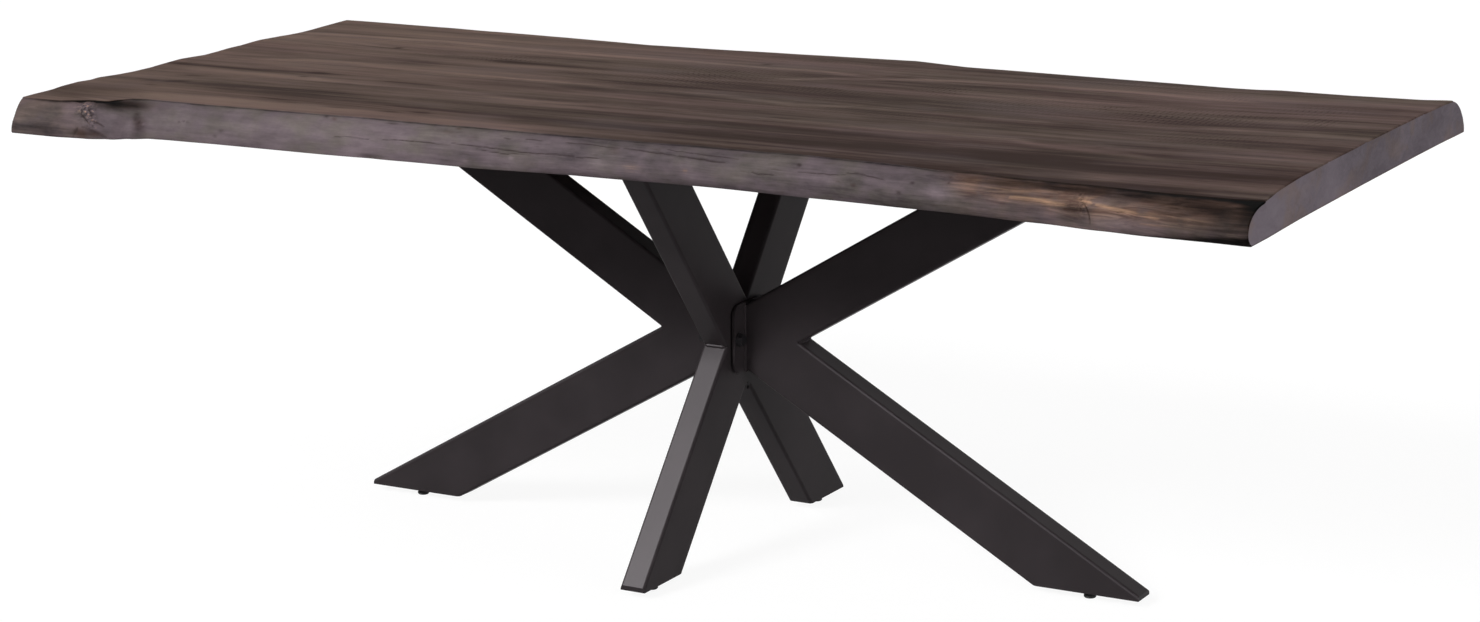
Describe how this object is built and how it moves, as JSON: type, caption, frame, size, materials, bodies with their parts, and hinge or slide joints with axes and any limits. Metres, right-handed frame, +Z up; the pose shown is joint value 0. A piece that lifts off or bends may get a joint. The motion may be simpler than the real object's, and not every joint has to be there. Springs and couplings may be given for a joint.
{
  "type": "dining table",
  "caption": "Rectangular dining table with a thick live-edge plank top on a black steel spider base with levelling feet.",
  "frame": {"origin": "on the floor under the middle of the top", "axes": "+X along the top's length, +Y across it towards the back, +Z up"},
  "size_m": [2.2008, 1.05, 0.76],
  "materials": {
    "wood": "oiled dark grey-brown, worn warmer on the front edge",
    "frame_steel": "satin black powder coat",
    "zinc": "zinc plated",
    "pad": "moulded, matte"
  },
  "bodies": {
    "table": {"plank_front": "wood", "plank_mid_front": "wood", "plank_mid_back": "wood", "plank_back": "wood", "right_upper_arm": "frame_steel", "left_upper_arm": "frame_steel", "front_upper_arm": "frame_steel", "back_upper_arm": "frame_steel", "right_lower_arm": "frame_steel", "left_lower_arm": "frame_steel", "front_lower_arm": "frame_steel", "back_lower_arm": "frame_steel", "right_top_plate": "frame_steel", "left_top_plate": "frame_steel", "front_top_plate": "frame_steel", "back_top_plate": "frame_steel", "right_foot_plate": "frame_steel", "left_foot_plate": "frame_steel", "front_foot_plate": "frame_steel", "back_foot_plate": "frame_steel", "right_outer_flange": "frame_steel", "left_outer_flange": "frame_steel", "right_inner_flange": "frame_steel", "left_inner_flange": "frame_steel", "hub_bolts": "zinc", "hub_washers": "zinc", "hub_weld_nuts": "zinc", "top_bolts": "zinc", "top_washers": "zinc", "top_inserts": "zinc", "right_foot_bush": "zinc", "left_foot_bush": "zinc", "front_foot_bush": "zinc", "back_foot_bush": "zinc"},
    "right_pad": {"right_foot_pad": "pad"},
    "right_screw": {"right_foot_screw": "zinc"},
    "left_pad": {"left_foot_pad": "pad"},
    "left_screw": {"left_foot_screw": "zinc"},
    "front_pad": {"front_foot_pad": "pad"},
    "front_screw": {"front_foot_screw": "zinc"},
    "back_pad": {"back_foot_pad": "pad"},
    "back_screw": {"back_foot_screw": "zinc"}
  },
  "joints": [
    {"name": "right_foot_lift", "type": "slide", "parent": "table", "child": "right_pad", "axis": [0, 0, -1], "range_m": [0, 0.01]},
    {"name": "right_foot_turn", "type": "hinge", "parent": "right_pad", "child": "right_screw", "pos_m": [0.6672, -0.005, 0.009], "axis": [0, 0, -1], "range_deg": [0, 2880]},
    {"name": "left_foot_lift", "type": "slide", "parent": "table", "child": "left_pad", "axis": [0, 0, -1], "range_m": [0, 0.01]},
    {"name": "left_foot_turn", "type": "hinge", "parent": "left_pad", "child": "left_screw", "pos_m": [-0.6192, -0.005, 0.009], "axis": [0, 0, -1], "range_deg": [0, 2880]},
    {"name": "front_foot_lift", "type": "slide", "parent": "table", "child": "front_pad", "axis": [0, 0, -1], "range_m": [0, 0.01]},
    {"name": "front_foot_turn", "type": "hinge", "parent": "front_pad", "child": "front_screw", "pos_m": [0.024, -0.28836, 0.009], "axis": [0, 0, -1], "range_deg": [0, 2880]},
    {"name": "back_foot_lift", "type": "slide", "parent": "table", "child": "back_pad", "axis": [0, 0, -1], "range_m": [0, 0.01]},
    {"name": "back_foot_turn", "type": "hinge", "parent": "back_pad", "child": "back_screw", "pos_m": [0.024, 0.27836, 0.009], "axis": [0, 0, -1], "range_deg": [0, 2880]}
  ],
  "couplings": [
    {"joint": "right_foot_lift", "follows": "right_foot_turn", "m_per_rad": 0.00019894},
    {"joint": "left_foot_lift", "follows": "left_foot_turn", "m_per_rad": 0.00019894},
    {"joint": "front_foot_lift", "follows": "front_foot_turn", "m_per_rad": 0.00019894},
    {"joint": "back_foot_lift", "follows": "back_foot_turn", "m_per_rad": 0.00019894}
  ]
}
